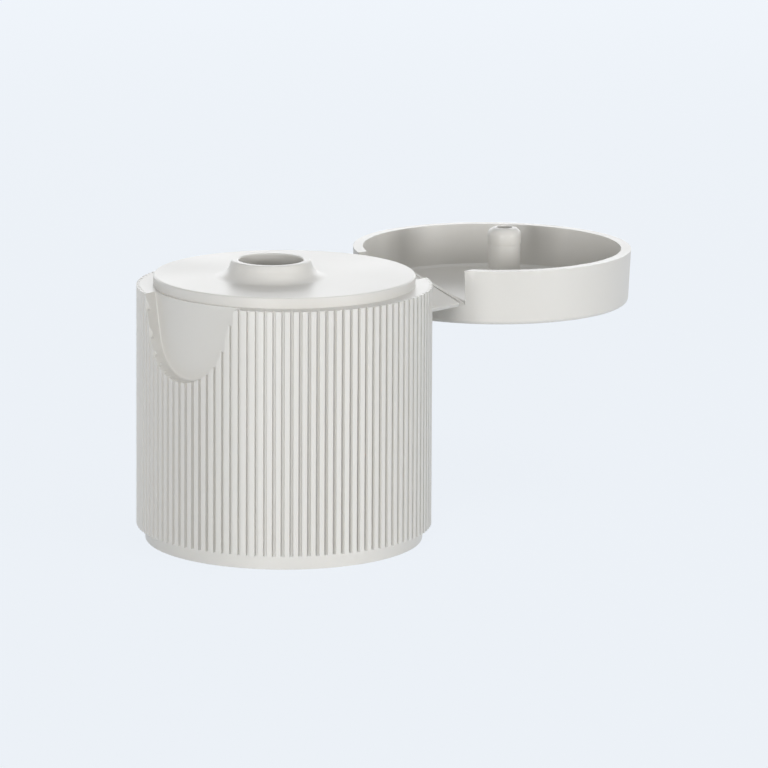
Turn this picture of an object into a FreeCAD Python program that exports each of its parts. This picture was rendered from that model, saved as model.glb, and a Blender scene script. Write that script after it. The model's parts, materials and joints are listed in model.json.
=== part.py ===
import FreeCAD, Part
import math
import os

import Sketcher
from FreeCAD import Placement, Rotation, Vector

# One-piece flip top closure, drawn with the lid swung fully open.
# Frame: Z is the axis of the skirt, z = 0 the lower face of the base ring, +Y points at the hinge.

SIZES = {
    # skirt
    "skirtRadius": 14.0,          # over the rib crests, at the shoulder
    "skirtFlare": 0.1,            # extra radius at the foot of the ribs, for mould draft
    "ringInset": 0.75,            # base ring inside the rib crests
    "ringHeight": 1.4,
    "shoulderHeight": 24.5,
    "ledgeWidth": 1.6,            # from the edge of the deck out to the rib crests
    "deckRise": 1.0,
    "deckThickness": 1.3,
    "deckEdge": 0.12,
    "socketWall": 1.95,           # leaves a 24.1 mm socket for a 24 mm bottle neck
    "neckChamfer": 0.4,
    "landStep": 0.45,             # narrower top of the socket, which centres the bottle's mouth
    "landGap": 0.2,               # from the foot of that land down past the end of the plug seal
    "thinWall": 0.7,              # wall left behind the thumb recess and the hinge window
    "ribCount": 108,
    "grooveDepth": 0.3,
    "grooveMouth": 0.33,
    "grooveFloor": 0.2,
    # seal and spout
    "plugInset": 3.05,            # plug seal inside the socket's wall, as thick as a bottle's mouth
    "plugWall": 0.7,
    "plugLength": 1.8,
    "spoutOffset": 1.85,
    "spoutRise": 1.6,
    "lipRadius": 3.72,
    "spoutFoot": 4.2,
    "spoutFillet": 1.6,
    "lipChamfer": 0.1,
    "spoutBore": 3.06,
    "orificeRadius": 1.8,
    "orificeLength": 1.0,
    "bossRadius": 4.1,
    # thumb recess
    "thumbHalfWidth": 5.8,
    "thumbRadius": 4.8,
    "thumbDepth": 7.45,
    # hinge
    "hingeReach": 0.87,           # hinge line beyond the skirt
    "hingeDrop": 0.08,            # hinge line below the shoulder
    "windowHalfWidth": 6.95,
    "windowDrop": 3.47,           # sill of the window below the hinge line
    "windowRelief": 0.45,         # window beyond the arm at each side
    "tongueHalfWidth": 1.3,
    "flapWall": 0.6,              # flared wall that carries the hinge on the lid
    "flapEdge": 0.4,
    "filmThickness": 0.3,
    "filmRelief": 0.02,
    "armThickness": 0.5,
    "armGap": 0.2,                # from the arm's edges to their bending lines
    "armShort": 0.35,             # from the arm's outer edge to the foot of the slopes
    # lid
    "lidInset": 0.17,
    "lidTaper": 0.23,
    "lidWall": 1.0,
    "lidHeight": 5.3,
    "lidFloor": 1.0,
    "lidGap": 0.05,               # between the closed rim and the shoulder
    "lidEdge": 0.25,
    "lidCorner": 0.25,
    "pinRadius": 1.67,
    "pinProud": 1.7,              # pin tip above the rim of the open lid
    "pinRound": 0.8,
    "pinShank": 1.6,
    "pinBead": 1.6,               # length of the wider plug at the tip
    "pinHole": 0.79,
    "pinHoleDepth": 5.5,
    # drawing aids
    "cutMargin": 1.0,             # how far cutting shapes stand proud of what they cut
    "overlap": 0.1,               # how far fused features run into each other
}

doc = FreeCAD.newDocument("FlipTopCap")
sheet = doc.addObject("Spreadsheet::Sheet", "Sizes")
for row, (alias, value) in enumerate(SIZES.items(), start=1):
    sheet.set("A%d" % row, alias)
    sheet.set("B%d" % row, str(value))
    sheet.setAlias("B%d" % row, alias)
doc.recompute()

# heights and places that several pieces share, written with the sheet's cells
SHOULDER = "Sizes.shoulderHeight"
BEYOND_SKIRT = "(Sizes.skirtRadius + 2 * Sizes.hingeReach)"
DECK_TOP = "(Sizes.shoulderHeight + Sizes.deckRise)"
DECK_UNDER = "(Sizes.shoulderHeight + Sizes.deckRise - Sizes.deckThickness)"
NECK = "(Sizes.skirtRadius - Sizes.socketWall)"
LAND = "(%s - Sizes.landStep)" % NECK
RING = "(Sizes.skirtRadius - Sizes.ringInset)"
DECK = "(Sizes.skirtRadius - Sizes.ledgeWidth)"
PLUG = "(%s - Sizes.plugInset)" % NECK
LID = "(Sizes.skirtRadius - Sizes.lidInset)"
LAND_Z = "(%s - Sizes.plugLength - Sizes.landGap)" % DECK_UNDER
THIN_RADIUS = "(%s + Sizes.thinWall)" % NECK
HINGE_Y = "(Sizes.skirtRadius + Sizes.hingeReach)"
HINGE_Z = "(Sizes.shoulderHeight - Sizes.hingeDrop)"
SILL_Z = "(Sizes.shoulderHeight - Sizes.hingeDrop - Sizes.windowDrop)"
RIM_Z = "(Sizes.shoulderHeight - 2 * Sizes.hingeDrop - Sizes.lidGap)"
LID_BOTTOM = "(%s - Sizes.lidHeight)" % RIM_Z
LID_FLOOR_Z = "(%s + Sizes.lidFloor)" % LID_BOTTOM
LID_INNER = "(%s - Sizes.lidWall)" % LID
LID_FOOT = "(%s - Sizes.lidTaper)" % LID
PIN_TIP = "(%s + Sizes.pinProud)" % RIM_Z
# where the window's edge meets the outer face of the skirt and of the lid, as depth in y
SKIRT_CORNER = "sqrt(Sizes.skirtRadius ^ 2 - Sizes.windowHalfWidth ^ 2)"
LID_CORNER = "sqrt(%s ^ 2 - Sizes.windowHalfWidth ^ 2)" % LID_FOOT


def plane(body, role):
    for feature in body.Origin.OriginFeatures:
        if feature.Role == role:
            return feature
    raise ValueError(role)


def bind(obj, **expressions):
    for name, text in expressions.items():
        obj.setExpression(name.replace("__", "."), text)


def outline(holder, name, role, corners):
    """Closed sketch of straight lines; each corner is a pair of sheet expressions."""
    sketch = holder.newObject("Sketcher::SketchObject", name)
    sketch.AttachmentSupport = [(plane(holder, role), "")]
    sketch.MapMode = "FlatFace"
    points = [Vector(sketch.evalExpression(x), sketch.evalExpression(y), 0) for x, y in corners]
    count = len(points)
    for i in range(count):
        sketch.addGeometry(Part.LineSegment(points[i], points[(i + 1) % count]), False)
    for i in range(count):
        sketch.addConstraint(Sketcher.Constraint("Coincident", i, 2, (i + 1) % count, 1))
    for i, (x, y) in enumerate(corners):
        across = sketch.addConstraint(Sketcher.Constraint("DistanceX", -1, 1, i, 1, points[i].x))
        sketch.setExpression("Constraints[%d]" % across, x)
        up = sketch.addConstraint(Sketcher.Constraint("DistanceY", -1, 1, i, 1, points[i].y))
        sketch.setExpression("Constraints[%d]" % up, y)
    return sketch


def revolved(holder, name, sketch):
    turn = holder.newObject("PartDesign::Revolution", name)
    turn.Profile = sketch
    turn.ReferenceAxis = (sketch, ["V_Axis"])
    turn.Angle = 360
    return turn


def round_feature(holder, kind, name, radius, y, z, height, top=None):
    """Cylinder or cone of the body, upright at (0, y), its foot at z."""
    feature = holder.newObject("PartDesign::" + kind, name)
    if top is None:
        bind(feature, Radius=radius)
    else:
        bind(feature, Radius1=radius, Radius2=top)
    bind(feature, Height=height, Placement__Base__y=y, Placement__Base__z=z)
    return feature


def ring_edges(shape, radius, z, y=0.0):
    """Names of the circular edges of that radius about (0, y) at that height."""
    names = []
    for index, edge in enumerate(shape.Edges, start=1):
        curve = edge.Curve
        if not isinstance(curve, Part.Circle):
            continue
        centre = curve.Center
        offset = math.hypot(centre.x, centre.y - y) + abs(centre.z - z)
        if offset < 1e-4 and abs(curve.Radius - radius) < 1e-4:
            names.append("Edge%d" % index)
    return names


def rounded(holder, name, kind, size, radius, z, y="0"):
    """Fillet or chamfer on the round edges found at a radius and height."""
    doc.recompute()
    base = holder.Tip
    edges = ring_edges(base.Shape, number(radius), number(z), number(y))
    if not edges:
        raise ValueError("no edge for " + name)
    feature = holder.newObject("PartDesign::" + kind, name)
    feature.Base = (base, edges)
    bind(feature, **size)
    holder.Tip = feature
    return feature


def number(text):
    return float(sheet.evalExpression(text))


def prism(name, corners, along, start, length):
    """Block with a drawn outline, for booleans: along is the axis it is drawn out in."""
    holder = doc.addObject("PartDesign::Body", name)
    role = {"x": "YZ_Plane", "y": "XZ_Plane", "z": "XY_Plane"}[along]
    sketch = outline(holder, name + "Outline", role, corners)
    pad = holder.newObject("PartDesign::Pad", name + "Pad")
    pad.Profile = sketch
    pad.Reversed = along == "y"
    bind(pad, Length=length)
    bind(holder, **{"Placement__Base__" + along: start})
    return holder


def solid_of(kind, name, **sizes):
    obj = doc.addObject("Part::" + kind, name)
    bind(obj, **sizes)
    return obj


def boolean(kind, name, *shapes):
    obj = doc.addObject("Part::" + kind, name)
    if kind == "Cut":
        obj.Base, obj.Tool = shapes
    else:
        obj.Shapes = list(shapes)
    return obj


# skirt and deck

skirt = doc.addObject("PartDesign::Body", "Skirt")
shell = outline(skirt, "ShellProfile", "XZ_Plane", [
    (NECK, "0"),
    (RING, "0"),
    (RING, "Sizes.ringHeight"),
    ("Sizes.skirtRadius + Sizes.skirtFlare", "Sizes.ringHeight"),
    ("Sizes.skirtRadius", SHOULDER),
    (DECK, SHOULDER),
    (DECK, DECK_TOP),
    ("0", DECK_TOP),
    ("0", DECK_UNDER),
    (LAND, DECK_UNDER),
    (LAND, LAND_Z + " + Sizes.landStep"),
    (NECK, LAND_Z),
])
revolved(skirt, "Shell", shell)
rounded(skirt, "NeckLeadIn", "Chamfer", {"Size": "Sizes.neckChamfer"}, NECK, "0")

# the spout stands off centre, away from the hinge, so that the lid's pin meets it on its arc
SPOUT_Y = "-Sizes.spoutOffset"
round_feature(skirt, "AdditiveCone", "Spout", "Sizes.spoutFoot", SPOUT_Y, DECK_TOP,
              "Sizes.spoutRise", top="Sizes.lipRadius")
rounded(skirt, "SpoutFillet", "Fillet", {"Radius": "Sizes.spoutFillet"},
        "Sizes.spoutFoot", DECK_TOP, SPOUT_Y)
round_feature(skirt, "AdditiveCylinder", "OrificeBoss", "Sizes.bossRadius", SPOUT_Y,
              DECK_UNDER + " - Sizes.orificeLength", "Sizes.orificeLength + Sizes.overlap")
plug = outline(skirt, "PlugProfile", "XZ_Plane", [
    (PLUG + " - Sizes.plugWall", DECK_UNDER + " - Sizes.plugLength"),
    (PLUG, DECK_UNDER + " - Sizes.plugLength"),
    (PLUG, DECK_UNDER + " + Sizes.overlap"),
    (PLUG + " - Sizes.plugWall", DECK_UNDER + " + Sizes.overlap"),
])
revolved(skirt, "PlugSeal", plug)
round_feature(skirt, "SubtractiveCylinder", "SpoutBore", "Sizes.spoutBore", SPOUT_Y,
              DECK_UNDER, "Sizes.deckThickness + Sizes.spoutRise")
round_feature(skirt, "SubtractiveCylinder", "Orifice", "Sizes.orificeRadius", SPOUT_Y,
              DECK_UNDER + " - Sizes.orificeLength", "Sizes.orificeLength")
SPOUT_TOP = DECK_TOP + " + Sizes.spoutRise"
rounded(skirt, "LipOuter", "Chamfer", {"Size": "Sizes.lipChamfer"}, "Sizes.lipRadius", SPOUT_TOP, SPOUT_Y)
rounded(skirt, "LipInner", "Chamfer", {"Size": "Sizes.lipChamfer"}, "Sizes.spoutBore", SPOUT_TOP, SPOUT_Y)
rounded(skirt, "DeckEdge", "Chamfer", {"Size": "Sizes.deckEdge"}, DECK, DECK_TOP)

# one groove between two ribs, then the same all round
GROOVE_PROUD = "(Sizes.skirtFlare + Sizes.overlap)"
GROOVE_REACH = "Sizes.skirtRadius + " + GROOVE_PROUD
GROOVE_SLANT = "((Sizes.grooveMouth - Sizes.grooveFloor) / 2 / Sizes.grooveDepth)"
GROOVE_HALF = "(Sizes.grooveMouth / 2 + %s * %s)" % (GROOVE_PROUD, GROOVE_SLANT)
GROOVE_ROOT = "Sizes.skirtRadius - Sizes.grooveDepth"
groove = outline(skirt, "GrooveProfile", "XY_Plane", [
    (GROOVE_ROOT, "-Sizes.grooveFloor / 2"),
    (GROOVE_ROOT, "Sizes.grooveFloor / 2"),
    (GROOVE_REACH, GROOVE_HALF),
    (GROOVE_REACH, "-" + GROOVE_HALF),
])
first_groove = skirt.newObject("PartDesign::Pocket", "Groove")
first_groove.Profile = groove
first_groove.Reversed = True
bind(first_groove, Length=SHOULDER + " + Sizes.cutMargin")
ribs = skirt.newObject("PartDesign::PolarPattern", "Ribs")
ribs.Originals = [first_groove]
ribs.Axis = (groove, ["N_Axis"])
ribs.Angle = 360
bind(ribs, Occurrences="Sizes.ribCount")
skirt.Tip = ribs
doc.recompute()

# thumb recess and hinge window

# keeps the wall of the socket, and all that stands on the deck, out of reach of the cuts
thin_core = solid_of("Cylinder", "ThinCore", Radius=THIN_RADIUS, Height="2 * " + SHOULDER)

# U outline: a round foot, and its two tangents that open out to the shoulder
THUMB_CENTRE = "(Sizes.shoulderHeight - Sizes.thumbDepth + Sizes.thumbRadius)"
THUMB_RISE = "(Sizes.thumbDepth - Sizes.thumbRadius)"
THUMB_REACH = "hypot(%s; Sizes.thumbHalfWidth)" % THUMB_RISE
TOUCH_ANGLE = "(atan2(%s; Sizes.thumbHalfWidth) - acos(Sizes.thumbRadius / %s))" % (THUMB_RISE, THUMB_REACH)
TOUCH_X = "Sizes.thumbRadius * cos(%s)" % TOUCH_ANGLE
TOUCH_Z = "%s + Sizes.thumbRadius * sin(%s)" % (THUMB_CENTRE, TOUCH_ANGLE)
thumb_sides = prism("ThumbSides", [
    ("-" + TOUCH_X, TOUCH_Z),
    (TOUCH_X, TOUCH_Z),
    ("Sizes.thumbHalfWidth", SHOULDER),
    ("Sizes.thumbHalfWidth", DECK_TOP),
    ("-Sizes.thumbHalfWidth", DECK_TOP),
    ("-Sizes.thumbHalfWidth", SHOULDER),
], "y", "-" + BEYOND_SKIRT, BEYOND_SKIRT)
thumb_foot = solid_of("Cylinder", "ThumbFoot", Radius="Sizes.thumbRadius", Height=BEYOND_SKIRT)
thumb_foot.Placement = Placement(Vector(0, 0, number(THUMB_CENTRE)), Rotation(Vector(1, 0, 0), 90))
bind(thumb_foot, Placement__Base__z=THUMB_CENTRE)
thumb = boolean("MultiFuse", "Thumb", thumb_sides, thumb_foot)
thumb_cut = boolean("Cut", "ThumbCut", thumb, thin_core)

WINDOW = "(Sizes.windowHalfWidth + Sizes.windowRelief)"
window = solid_of("Box", "Window", Length="2 * " + WINDOW, Width=BEYOND_SKIRT,
                  Height="%s - %s" % (DECK_TOP, SILL_Z),
                  Placement__Base__x="-" + WINDOW, Placement__Base__z=SILL_Z)
window_cut = boolean("Cut", "WindowCut", window, thin_core)

# the web that carries the hinge

WEB_TOP = "(%s - Sizes.filmRelief)" % HINGE_Z
SLOPES = [
    ("-Sizes.windowHalfWidth", SILL_Z),
    ("Sizes.windowHalfWidth", SILL_Z),
    ("Sizes.tongueHalfWidth", WEB_TOP),
    ("-Sizes.tongueHalfWidth", WEB_TOP),
]


def film_line(side, corner, inset):
    """Bending lines in plan, left to right: one slope, the tongue between them, the other slope."""
    foot = "%s(%s - %s)" % (side, corner, inset)
    across = "%s(%s - Sizes.filmRelief / 2 - %s)" % (side, HINGE_Y, inset)
    return [("-Sizes.windowHalfWidth", foot), ("-Sizes.tongueHalfWidth", across),
            ("Sizes.tongueHalfWidth", across), ("Sizes.windowHalfWidth", foot)]


def flared(name, foot, inset):
    """Cone that widens from the foot radius to the ends of the tongue, drawn in by the inset."""
    reach = "sqrt(%s ^ 2 + Sizes.tongueHalfWidth ^ 2)" % HINGE_Y
    flare = "(%s - %s) * Sizes.windowDrop / (Sizes.windowDrop - Sizes.filmThickness)" % (reach, foot)
    return solid_of("Cone", name, Radius1="%s - %s" % (foot, inset),
                    Radius2="%s - %s + %s" % (foot, inset, flare),
                    Height="Sizes.windowDrop", Placement__Base__z=SILL_Z)


def hinge_web(name, side, foot, corner, core):
    """Web under the two slopes, out to the bending lines; side is "" towards +Y and "-" towards -Y."""
    slopes = prism(name + "Slopes", SLOPES, "y", "0" if side == "" else "-" + BEYOND_SKIRT, BEYOND_SKIRT)
    back = side + "Sizes.skirtRadius / 2"
    plan = prism(name + "Plan", [("-Sizes.windowHalfWidth", back)] + film_line(side, corner, "0")
                 + [("Sizes.windowHalfWidth", back)], "z", SILL_Z, "Sizes.windowDrop")
    block = boolean("MultiCommon", name + "Block", slopes, plan, flared(name + "Cone", foot, "0"))
    return boolean("Cut", name, block, core)


skirt_web = hinge_web("SkirtWeb", "", "Sizes.skirtRadius", SKIRT_CORNER, thin_core)
skirt_open = boolean("Cut", "SkirtThumb", skirt, thumb_cut)
skirt_window = boolean("Cut", "SkirtWindow", skirt_open, window_cut)
cap_body = boolean("MultiFuse", "CapBody", skirt_window, skirt_web)
cap_body.Label = "cap_body"

# lid, drawn about its own axis

lid = doc.addObject("PartDesign::Body", "LidCup")
LID_INNER_FOOT = "(%s - Sizes.lidTaper)" % LID_INNER
cup = outline(lid, "CupProfile", "XZ_Plane", [
    ("0", LID_BOTTOM),
    (LID_FOOT, LID_BOTTOM),
    (LID, RIM_Z),
    (LID_INNER, RIM_Z),
    (LID_INNER_FOOT, LID_FLOOR_Z),
    ("0", LID_FLOOR_Z),
])
revolved(lid, "Cup", cup)
rounded(lid, "CupEdge", "Chamfer", {"Size": "Sizes.lidEdge"}, LID_FOOT, LID_BOTTOM)
rounded(lid, "CupCorner", "Chamfer", {"Size": "Sizes.lidCorner"}, LID_INNER_FOOT, LID_FLOOR_Z)

# hollow pin that comes down in the spout; it mirrors the spout about the hinge line
PIN_Y = "Sizes.spoutOffset"
round_feature(lid, "AdditiveCylinder", "PinShank", "Sizes.pinShank", PIN_Y,
              LID_FLOOR_Z, "%s - %s - Sizes.pinBead" % (PIN_TIP, LID_FLOOR_Z))
round_feature(lid, "AdditiveCylinder", "PinBead", "Sizes.pinRadius", PIN_Y,
              PIN_TIP + " - Sizes.pinBead", "Sizes.pinBead")
rounded(lid, "PinFoot", "Chamfer", {"Size": "Sizes.lidCorner"}, "Sizes.pinShank", LID_FLOOR_Z, PIN_Y)
rounded(lid, "PinRound", "Fillet", {"Radius": "Sizes.pinRound"}, "Sizes.pinRadius", PIN_TIP, PIN_Y)
round_feature(lid, "SubtractiveCylinder", "PinHole", "Sizes.pinHole", PIN_Y,
              PIN_TIP + " - Sizes.pinHoleDepth", "Sizes.pinHoleDepth")
lid_window = lid.newObject("PartDesign::SubtractiveBox", "LidWindow")
bind(lid_window, Length="2 * Sizes.windowHalfWidth", Width=LID + " / 2 + Sizes.cutMargin",
     Height="Sizes.windowDrop + Sizes.cutMargin", Placement__Base__x="-Sizes.windowHalfWidth",
     Placement__Base__y="-%s - Sizes.cutMargin" % LID, Placement__Base__z=SILL_Z)

# on the lid the web is a flared flap, open to the inside, with a thicker rim along the bending lines
flap_rim = prism("FlapRim", film_line("-", LID_CORNER, "0")
                 + film_line("-", LID_CORNER, "Sizes.flapEdge")[::-1], "z", SILL_Z, "Sizes.windowDrop")
flap_hollow = boolean("Cut", "FlapHollow", flared("FlapInside", LID_FOOT, "Sizes.flapWall"), flap_rim)
lid_web = hinge_web("LidWeb", "-", LID_FOOT, LID_CORNER, flap_hollow)
flip_lid = boolean("MultiFuse", "FlipLid", lid, lid_web)
flip_lid.Label = "flip_lid"
bind(flip_lid, Placement__Base__y="2 * " + HINGE_Y)

# spring arms of the snap hinge

# Each arm is a three-cornered plate in a plane that holds the hinge direction and both sloping edges.
ARM_RUN = "(Sizes.windowHalfWidth - Sizes.tongueHalfWidth)"
ARM_SPAN = "sqrt(%s ^ 2 + Sizes.windowDrop ^ 2)" % ARM_RUN
TO_SKIRT = "(%s - %s)" % (HINGE_Y, SKIRT_CORNER)
TO_LID = "(%s - %s)" % (HINGE_Y, LID_CORNER)
EDGE_SKIRT = "sqrt(%s ^ 2 + %s ^ 2)" % (ARM_SPAN, TO_SKIRT)
EDGE_LID = "sqrt(%s ^ 2 + %s ^ 2)" % (ARM_SPAN, TO_LID)
ARM_TIP = "Sizes.armGap * (%s + %s) / (%s + %s)" % (EDGE_SKIRT, EDGE_LID, TO_SKIRT, TO_LID)
ARM_END = "(%s - Sizes.armShort)" % ARM_SPAN
EDGES = {
    "skirt": "(Sizes.armGap * %s - %s * {0}) / %s" % (EDGE_SKIRT, TO_SKIRT, ARM_SPAN),
    "lid": "(%s * {0} - Sizes.armGap * %s) / %s" % (TO_LID, EDGE_LID, ARM_SPAN),
}
arms = []
for side, sign in (("right", 1), ("left", -1)):
    arm = doc.addObject("PartDesign::Body", "Arm" + side.title())
    arm.Label = "hinge_arm_" + side
    sketch = outline(arm, arm.Name + "Outline", "XY_Plane", [
        (ARM_TIP, EDGES["skirt"].format(ARM_TIP)),
        (ARM_END, EDGES["skirt"].format(ARM_END)),
        (ARM_END, EDGES["lid"].format(ARM_END)),
    ])
    plate = arm.newObject("PartDesign::Pad", arm.Name + "Plate")
    plate.Profile = sketch
    plate.Reversed = sign > 0
    bind(plate, Length="Sizes.armThickness")
    arm.Placement = Placement(Vector(0, 0, 0), Rotation(Vector(0, 1, 0), 1))
    slope = "atan(Sizes.windowDrop / %s)" % ARM_RUN
    bind(arm, Placement__Base__x="%d * Sizes.tongueHalfWidth" % sign,
         Placement__Base__y=HINGE_Y, Placement__Base__z=HINGE_Z,
         Placement__Rotation__Angle=slope if sign > 0 else "180 deg - " + slope)
    arms.append(arm)

# check and export

doc.recompute()
for obj in doc.Objects:
    if "Invalid" in obj.State or "Error" in obj.State:
        raise RuntimeError("%s failed: %s" % (obj.Label, obj.State))

os.makedirs("parts", exist_ok=True)
for piece in [cap_body, flip_lid] + arms:
    shape = piece.Shape
    if shape.isNull() or not shape.isValid() or len(shape.Solids) != 1:
        raise RuntimeError("%s has a bad shape" % piece.Label)
    shape.exportStep("parts/%s.step" % piece.Label)
    box = shape.BoundBox
    print("%-16s %8.1f mm3  x %.2f..%.2f  y %.2f..%.2f  z %.2f..%.2f" % (
        piece.Label, shape.Volume, box.XMin, box.XMax, box.YMin, box.YMax, box.ZMin, box.ZMax))
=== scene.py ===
import json
import math

import bmesh
import bpy
from mathutils import Matrix, Vector


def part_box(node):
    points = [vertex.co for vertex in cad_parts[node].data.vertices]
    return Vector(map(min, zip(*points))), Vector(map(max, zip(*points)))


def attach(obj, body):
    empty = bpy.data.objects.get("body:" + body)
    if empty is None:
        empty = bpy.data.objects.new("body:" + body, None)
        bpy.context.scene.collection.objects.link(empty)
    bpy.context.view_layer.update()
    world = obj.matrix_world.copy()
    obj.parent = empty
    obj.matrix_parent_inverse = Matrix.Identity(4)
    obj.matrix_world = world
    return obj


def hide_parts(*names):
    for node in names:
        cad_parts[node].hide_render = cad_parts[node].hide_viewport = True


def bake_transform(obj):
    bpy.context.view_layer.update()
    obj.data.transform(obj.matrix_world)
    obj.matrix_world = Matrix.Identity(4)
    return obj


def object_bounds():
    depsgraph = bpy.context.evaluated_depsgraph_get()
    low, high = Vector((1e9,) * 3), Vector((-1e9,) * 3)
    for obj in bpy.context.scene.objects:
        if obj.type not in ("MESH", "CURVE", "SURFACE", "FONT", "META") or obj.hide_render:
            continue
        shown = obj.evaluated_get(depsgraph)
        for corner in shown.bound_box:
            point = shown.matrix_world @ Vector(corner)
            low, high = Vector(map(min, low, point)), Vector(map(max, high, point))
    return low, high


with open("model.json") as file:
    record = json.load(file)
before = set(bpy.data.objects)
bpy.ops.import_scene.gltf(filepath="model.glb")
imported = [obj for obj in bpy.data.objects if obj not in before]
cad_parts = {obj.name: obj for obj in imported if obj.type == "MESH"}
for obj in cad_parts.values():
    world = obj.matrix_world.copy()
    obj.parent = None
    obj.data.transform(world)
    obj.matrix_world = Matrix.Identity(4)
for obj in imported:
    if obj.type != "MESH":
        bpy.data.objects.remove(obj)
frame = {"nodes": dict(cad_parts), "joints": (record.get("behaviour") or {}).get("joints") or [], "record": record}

mm = 0.001
mergeDistance = 0.001 * mm          # vertices nearer than this become one
flatAngle = math.radians(0.1)       # facets turned less than this become one flat face
softAngle = math.radians(25)        # edges turned more than this are rounded
shadeAngle = math.radians(38)       # edges turned more than this stay sharp in the shading
cadBox = [list(corner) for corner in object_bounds()]
joints = {joint["name"]: joint for joint in frame["joints"]}
mounts = {mount["name"]: mount for mount in frame["record"]["mounts"]}
hingePoint = Vector(joints["lid_hinge"]["pos_m"])
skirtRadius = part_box("cap_body")[1][0]


def bendingLines(side):
    # a spring plate's point on the hinge line, and the way down along its two bending lines
    joint = joints["arm_" + side + "_film"]
    along = Vector(joint["axis"])
    alongSkirt = -along if along.z > 0 else along
    return Vector(joint["pos_m"]), alongSkirt, alongSkirt * Vector((1, -1, 1))


def onBendingLine(edge, nearMm=0.1):
    # true on the skirt's and the lid's edges that the spring plates hang from
    for side in ("left", "right"):
        point, alongSkirt, alongLid = bendingLines(side)
        for line in (alongSkirt, alongLid):
            if all((vert.co - point).cross(line).length < nearMm * mm for vert in edge.verts):
                return True
    return False


print("frame loaded, box in mm:", [[round(v / mm, 2) for v in corner] for corner in cadBox])


def toLinear(hexColour):
    # the sRGB curve undone, for each pair of hex digits
    channels = []
    for i in (1, 3, 5):
        value = int(hexColour[i:i + 2], 16) / 255
        channels.append(value / 12.92 if value <= 0.04045 else ((value + 0.055) / 1.055) ** 2.4)
    return channels + [1.0]


def addNode(owner, kind, settings=None, links=None):
    tree = owner.node_tree
    node = tree.nodes.new(kind)
    for name, value in (settings or {}).items():
        if name in node.inputs:
            node.inputs[name].default_value = value
        else:
            setattr(node, name, value)
    for name, socket in (links or {}).items():
        tree.links.new(socket, node.inputs[name])
    return node


def emptyMaterial(name):
    material = bpy.data.materials.new(name)
    material.use_nodes = True
    material.node_tree.nodes.clear()
    return material


# polypropylene moulded in a fine spark-eroded tool: a satin skin with a soft, wide highlight,
# a little light let in under the skin, and a grain felt more than seen
polypropylene = {
    "colour": "#D8D6D1",
    "roughness": 0.36,
    "ior": 1.49,
    "grainMm": 0.25,          # the real grain is about 0.03 mm, drawn this coarse so that it shows
    "grainHeightMm": 0.0016,
    "flowMm": 9.0,            # slow change of gloss where the melt ran together
    "flowGloss": 0.05,
    "scatterMm": 0.5,
    "scatterWeight": 0.12,
    "scatterTint": (1.0, 0.9, 0.75),
}


def makePolypropylene(p):
    material = emptyMaterial("satinPolypropyleneMoulded")
    place = addNode(material, "ShaderNodeTexCoord")
    grain = addNode(material, "ShaderNodeTexNoise",
                    {"Scale": 1 / (p["grainMm"] * mm), "Detail": 2.0, "Roughness": 0.5},
                    {"Vector": place.outputs["Object"]})
    skin = addNode(material, "ShaderNodeBump",
                   {"Strength": 1.0, "Distance": p["grainHeightMm"] * mm},
                   {"Height": grain.outputs["Fac"]})
    flow = addNode(material, "ShaderNodeTexNoise",
                   {"Scale": 1 / (p["flowMm"] * mm), "Detail": 1.0},
                   {"Vector": place.outputs["Object"]})
    gloss = addNode(material, "ShaderNodeMapRange",
                    {"To Min": p["roughness"] - p["flowGloss"], "To Max": p["roughness"] + p["flowGloss"]},
                    {"Value": flow.outputs["Fac"]})
    shader = addNode(material, "ShaderNodeBsdfPrincipled",
                     {"Base Color": toLinear(p["colour"]), "IOR": p["ior"],
                      "Subsurface Weight": p["scatterWeight"], "Subsurface Scale": p["scatterMm"] * mm,
                      "Subsurface Radius": p["scatterTint"]},
                     {"Normal": skin.outputs["Normal"], "Roughness": gloss.outputs["Result"]})
    addNode(material, "ShaderNodeOutputMaterial", None, {"Surface": shader.outputs["BSDF"]})
    return material


plastic = makePolypropylene(polypropylene)
print("material ready")


def solidCopy(node):
    bm = bmesh.new()
    bm.from_mesh(frame["nodes"][node].data)
    bmesh.ops.remove_doubles(bm, verts=bm.verts, dist=mergeDistance)
    bmesh.ops.dissolve_limit(bm, angle_limit=flatAngle, verts=bm.verts, edges=bm.edges, delimit={"NORMAL"})
    return bm


def softenEdges(bm, roundMm, segments, where=None, clamp=True):
    # the bending lines stay thin and sharp, where the plates meet the skirt and the lid
    sharp = [edge for edge in bm.edges
             if len(edge.link_faces) == 2 and edge.calc_face_angle(0) > softAngle
             and not onBendingLine(edge) and (where is None or where(edge))]
    bmesh.ops.bevel(bm, geom=sharp, offset=roundMm * mm, offset_type="OFFSET", affect="EDGES",
                    segments=segments, profile=0.5, material=-1, clamp_overlap=clamp)


def finishPiece(bm, name):
    mesh = bpy.data.meshes.new(name)
    bm.to_mesh(mesh)
    bm.free()
    mesh.shade_smooth()
    mesh.set_sharp_from_angle(angle=shadeAngle)
    mesh.materials.append(plastic)
    piece = bpy.data.objects.new(name, mesh)
    bpy.context.scene.collection.objects.link(piece)
    weighted = piece.modifiers.new("evenShading", "WEIGHTED_NORMAL")
    weighted.keep_sharp = True
    print(name, "has", sum(len(face.vertices) - 2 for face in mesh.polygons), "triangles")
    return piece


skirtAndSpout = {
    "edgeRoundMm": 0.05,      # mouldings come out of the tool with this much on every edge
    "recessFilletMm": 0.2,    # foot of the wall round the thumb recess
    "recessReachMm": 0.9,     # that foot lies at least this far inside the rib crests
}


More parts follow.
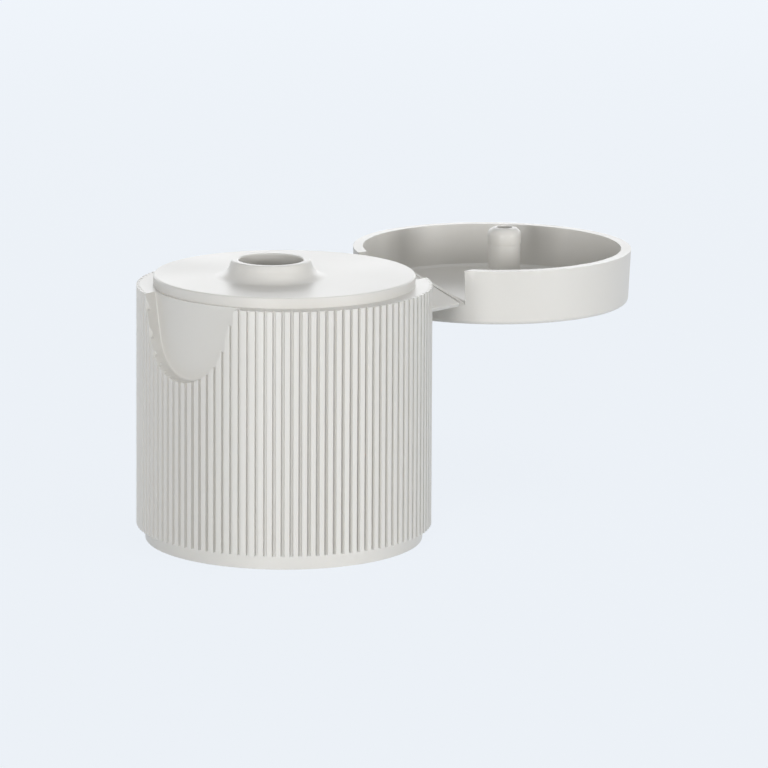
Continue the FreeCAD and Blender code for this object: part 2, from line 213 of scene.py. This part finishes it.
def buildSkirtAndSpout(p):
    bm = solidCopy("cap_body")
    deepest = skirtRadius - p["recessReachMm"] * mm
    bore = mounts["neck_bore"]["dims"]["r_mm"] * mm

    def atRecessFoot(edge):
        middle = (edge.verts[0].co + edge.verts[1].co) / 2
        out = math.hypot(middle.x, middle.y)
        return middle.y < 0 and not edge.is_convex and bore < out < deepest and middle.z < hingePoint.z

    softenEdges(bm, p["recessFilletMm"], 4, atRecessFoot, clamp=False)
    softenEdges(bm, p["edgeRoundMm"], 2)
    piece = finishPiece(bm, "skirtAndSpout")
    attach(piece, "skirt")
    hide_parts("cap_body")


buildSkirtAndSpout(skirtAndSpout)

# screw thread of a 24 mm neck, as a ridge that fades into the bore at both ends
neckThread = {
    "pitchMm": 3.175,
    "turns": 2.25,
    "firstMm": 12.0,          # start of the thread above the base ring
    "heightMm": 0.8,
    "footMm": 2.0,            # width at the wall
    "crestMm": 0.7,
    "sunkMm": 0.1,            # how far the foot sits in the wall
    "crestRoundMm": 0.12,
    "stepsPerTurn": 72,
    "fadeTurns": 0.08,
    "leastFade": 0.02,        # what is left of the height at the very ends
}


def buildNeckThread(p):
    wall = mounts["neck_bore"]["dims"]["r_mm"]
    bm = bmesh.new()
    corners = [(wall + p["sunkMm"], -p["footMm"] / 2), (wall - p["heightMm"], -p["crestMm"] / 2),
               (wall - p["heightMm"], p["crestMm"] / 2), (wall + p["sunkMm"], p["footMm"] / 2)]
    ring = [bm.verts.new((r * mm, 0, (p["firstMm"] + z) * mm)) for r, z in corners]
    section = bm.faces.new(ring)
    steps = round(p["turns"] * p["stepsPerTurn"])
    bmesh.ops.spin(bm, geom=[section], cent=(0, 0, 0), axis=(0, 0, 1), steps=steps,
                   angle=2 * math.pi * p["turns"],
                   dvec=(0, 0, p["turns"] * p["pitchMm"] * mm / steps), use_merge=False)
    bmesh.ops.remove_doubles(bm, verts=bm.verts, dist=mergeDistance)
    for vert in bm.verts:
        around = math.atan2(vert.co.y, vert.co.x) / (2 * math.pi) % 1
        climbed = (vert.co.z / mm - p["firstMm"]) / p["pitchMm"]
        turn = around + round(climbed - around)
        fade = min(1, turn / p["fadeTurns"], (p["turns"] - turn) / p["fadeTurns"])
        if math.hypot(vert.co.x, vert.co.y) < wall * mm:
            out = wall + p["sunkMm"] - (p["sunkMm"] + p["heightMm"]) * max(fade, p["leastFade"])
            vert.co.xy = vert.co.xy.normalized() * out * mm
    bmesh.ops.recalc_face_normals(bm, faces=bm.faces)
    softenEdges(bm, p["crestRoundMm"], 2, lambda edge: edge.is_convex)
    piece = finishPiece(bm, "neckThread")
    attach(piece, "skirt")


buildNeckThread(neckThread)

flipLid = {
    "edgeRoundMm": 0.09,      # rim and window edges
    "footRoundMm": 0.16,      # outer foot of the cup, which the tool leaves well rounded
    "footBandMm": 0.4,        # height above the lid's floor that counts as foot
}


def buildFlipLid(p):
    bm = solidCopy("flip_lid")
    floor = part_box("flip_lid")[0][2]
    softenEdges(bm, p["footRoundMm"], 3,
                lambda edge: max(vert.co.z for vert in edge.verts) < floor + p["footBandMm"] * mm)
    softenEdges(bm, p["edgeRoundMm"], 3)
    piece = finishPiece(bm, "flipLid")
    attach(piece, "lid")
    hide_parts("flip_lid")


buildFlipLid(flipLid)

# the spring plates keep their thickness and taper out to a thin film along both bending lines
springArm = {
    "footRoundMm": 0.06,
    "skinMm": 0.01,           # what lies this near the plate's upper face belongs to it
    "levelMm": 0.01,          # a foot's edges run from front to back within this much
}


def buildSpringArm(side, p):
    bm = solidCopy("hinge_arm_" + side)
    tip, alongSkirt, alongLid = bendingLines(side)
    outwards = alongLid.cross(alongSkirt).normalized()
    if outwards.z < 0:
        outwards.negate()
    sideways = math.copysign(1, alongSkirt.x)
    reach = max(vert.co.x * sideways for vert in bm.verts) - tip.x * sideways
    reach /= abs(alongSkirt.x)
    for vert in bm.verts:
        if (vert.co - tip).dot(outwards) < -p["skinMm"] * mm:
            continue
        if (vert.co - tip).length < reach / 2:
            vert.co = tip
        elif vert.co.y < tip.y:
            vert.co = tip + alongSkirt * reach
        else:
            vert.co = tip + alongLid * reach
    bmesh.ops.remove_doubles(bm, verts=bm.verts, dist=mergeDistance)
    softenEdges(bm, p["footRoundMm"], 2,
                lambda edge: abs(edge.verts[0].co.x - edge.verts[1].co.x) < p["levelMm"] * mm)
    piece = finishPiece(bm, "springArm" + side.title())
    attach(piece, "arm_" + side)
    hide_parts("hinge_arm_" + side)


for side in ("left", "right"):
    buildSpringArm(side, springArm)

# film that joins the two halves of the tongue, laid flat just under the hinge line
hingeFilm = {
    "widthMm": 2.5,           # along the hinge line
    "acrossMm": 0.5,          # from skirt to lid
    "thicknessMm": 0.24,
    "underTopMm": 0.05,       # its top lies this far under the hinge line
    "foldMm": 0.24,           # the part that bends
    "folds": 12,
}


def buildHingeFilm(p):
    bm = bmesh.new()
    bmesh.ops.create_grid(bm, x_segments=1, y_segments=p["folds"], size=0.5)
    bmesh.ops.solidify(bm, geom=bm.faces, thickness=1)
    bmesh.ops.scale(bm, verts=bm.verts, vec=(p["widthMm"] * mm, p["acrossMm"] * mm, p["thicknessMm"] * mm))
    top = max(vert.co.z for vert in bm.verts)
    bmesh.ops.translate(bm, verts=bm.verts, vec=hingePoint - Vector((0, 0, top + p["underTopMm"] * mm)))
    bmesh.ops.recalc_face_normals(bm, faces=bm.faces)
    piece = finishPiece(bm, "hingeFilm")
    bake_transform(piece)


buildHingeFilm(hingeFilm)
print("cap ready")

# a pale sweep with soft boxes: one over the deck, two low ones that draw the ribs, one behind
studio = {
    "backdrop": "#EFF4FA",
    "surroundStrength": 0.36,
    "floorSize": 6.0,
    "floorFlat": 0.93,        # share of the floor seen in its plain colour, the rest takes shadows
}


def seenDirectly(owner):
    # 1 for camera, mirror and see-through rays, which meet the backdrop's own colour
    rays = addNode(owner, "ShaderNodeLightPath")
    first = addNode(owner, "ShaderNodeMath", {"operation": "MAXIMUM"})
    second = addNode(owner, "ShaderNodeMath", {"operation": "MAXIMUM"})
    links = owner.node_tree.links
    links.new(rays.outputs["Is Camera Ray"], first.inputs[0])
    links.new(rays.outputs["Is Glossy Ray"], first.inputs[1])
    links.new(first.outputs[0], second.inputs[0])
    links.new(rays.outputs["Is Transmission Ray"], second.inputs[1])
    return second.outputs[0]


def mixShaders(owner, share, plain, seen, output):
    mix = addNode(owner, "ShaderNodeMixShader")
    links = owner.node_tree.links
    links.new(share, mix.inputs[0])
    links.new(plain.outputs[0], mix.inputs[1])
    links.new(seen.outputs[0], mix.inputs[2])
    addNode(owner, output, None, {"Surface": mix.outputs[0]})


def makeWorld(s):
    world = bpy.data.worlds.new("paleSurround")
    bpy.context.scene.world = world
    world.use_nodes = True
    world.node_tree.nodes.clear()
    lights = addNode(world, "ShaderNodeBackground",
                     {"Color": (1, 1, 1, 1), "Strength": s["surroundStrength"]})
    shown = addNode(world, "ShaderNodeBackground", {"Color": toLinear(s["backdrop"]), "Strength": 1.0})
    mixShaders(world, seenDirectly(world), lights, shown, "ShaderNodeOutputWorld")


def makeFloor(s):
    material = emptyMaterial("matPaperSweep")
    paper = addNode(material, "ShaderNodeBsdfDiffuse", {"Color": toLinear(s["backdrop"])})
    flat = addNode(material, "ShaderNodeEmission", {"Color": toLinear(s["backdrop"]), "Strength": 1.0})
    share = addNode(material, "ShaderNodeMath", {"operation": "MULTIPLY"})
    material.node_tree.links.new(seenDirectly(material), share.inputs[0])
    share.inputs[1].default_value = s["floorFlat"]
    mixShaders(material, share.outputs[0], paper, flat, "ShaderNodeOutputMaterial")
    bm = bmesh.new()
    bmesh.ops.create_grid(bm, x_segments=1, y_segments=1, size=s["floorSize"] / 2)
    bmesh.ops.translate(bm, verts=bm.verts, vec=(0, 0, cadBox[0][2]))
    mesh = bpy.data.meshes.new("paperFloor")
    bm.to_mesh(mesh)
    bm.free()
    mesh.materials.append(material)
    floor = bpy.data.objects.new("paperFloor", mesh)
    bpy.context.scene.collection.objects.link(floor)


# azimuth goes round from the front, 0, to the right, 90; all lengths in metres, power in watts
lamps = {
    "topBox": {"azimuth": 100, "height": 70, "distance": 0.6, "size": (0.4, 0.4), "power": 0.5},
    "leftBox": {"azimuth": 26, "height": 5, "distance": 0.7, "size": (0.2, 0.15), "power": 2.1},
    "rightBox": {"azimuth": 96, "height": 6, "distance": 0.7, "size": (0.15, 0.15), "power": 1.5},
    "backBox": {"azimuth": 222, "height": 15, "distance": 0.5, "size": (0.6, 0.2), "power": 0.75},
}


def makeLamp(name, azimuth, height, distance, size, power):
    light = bpy.data.lights.new(name, "AREA")
    light.shape = "RECTANGLE"
    light.size, light.size_y = size
    light.energy = power
    lamp = bpy.data.objects.new(name, light)
    bearing, rise = math.radians(azimuth), math.radians(height)
    away = Vector((math.sin(bearing) * math.cos(rise), -math.cos(bearing) * math.cos(rise), math.sin(rise)))
    middle = (Vector(cadBox[0]) + Vector(cadBox[1])) / 2
    lamp.location = middle + away * distance
    lamp.rotation_euler = (-away).to_track_quat("-Z", "Y").to_euler()
    bpy.context.scene.collection.objects.link(lamp)


makeWorld(studio)
makeFloor(studio)
for name, lamp in lamps.items():
    makeLamp(name, **lamp)
print("studio ready")

longLens = {
    "eyeMm": (284.29, -295.65, 102.44),
    "aimMm": (-0.10, 14.12, 12.63),
    "rollDeg": 0.418,
    "lensMm": 206.78,
    "sensorMm": 36,
}


def makeCamera(c):
    data = bpy.data.cameras.new("longLens")
    data.lens = c["lensMm"]
    data.sensor_width = c["sensorMm"]
    view = bpy.data.objects.new("longLens", data)
    eye = Vector(c["eyeMm"]) * mm
    aim = Vector(c["aimMm"]) * mm - eye
    turn = aim.to_track_quat("-Z", "Y").to_matrix() @ Matrix.Rotation(math.radians(c["rollDeg"]), 3, "Z")
    view.matrix_world = Matrix.Translation(eye) @ turn.to_4x4()
    bpy.context.scene.collection.objects.link(view)
    bpy.context.scene.camera = view


makeCamera(longLens)
bpy.context.scene.view_settings.view_transform = "Standard"

print("all pieces placed")
